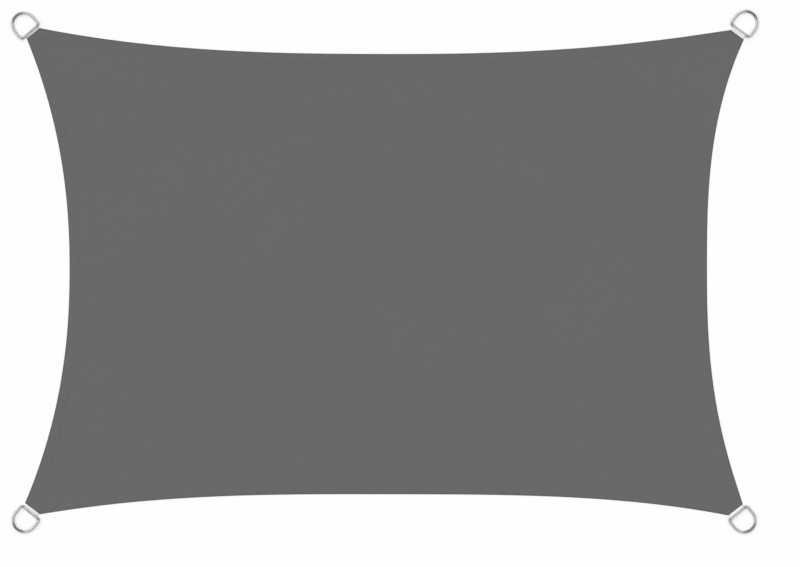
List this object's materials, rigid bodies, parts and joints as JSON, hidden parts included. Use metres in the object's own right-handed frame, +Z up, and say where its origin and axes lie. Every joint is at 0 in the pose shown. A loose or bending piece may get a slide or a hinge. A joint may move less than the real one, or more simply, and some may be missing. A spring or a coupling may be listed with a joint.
{
  "type": "shade sail",
  "caption": "Rectangular cloth shade sail with inward-curving hemmed edges and a steel D-ring on a webbing loop at each corner, laid out flat.",
  "frame": {"origin": "on the surface it lies on, under the middle of the whole part's bounding box", "axes": "+X along the long side, +Y along the short side towards the back edge, +Z up, out of the cloth's upper face"},
  "size_m": [3.1806, 2.2278, 0.0124],
  "materials": {
    "cloth": "matt tightly woven polyester, plain dark grey",
    "webbing": "off-white flat woven webbing",
    "ring_steel": "polished stainless steel wire"
  },
  "bodies": {
    "root": {"sail": "cloth", "corner_loop_front_left": "webbing", "corner_loop_front_right": "webbing", "corner_loop_back_right": "webbing", "corner_loop_back_left": "webbing", "d_ring_front_left": "ring_steel", "d_ring_front_right": "ring_steel", "d_ring_back_right": "ring_steel", "d_ring_back_left": "ring_steel"}
  },
  "joints": []
}
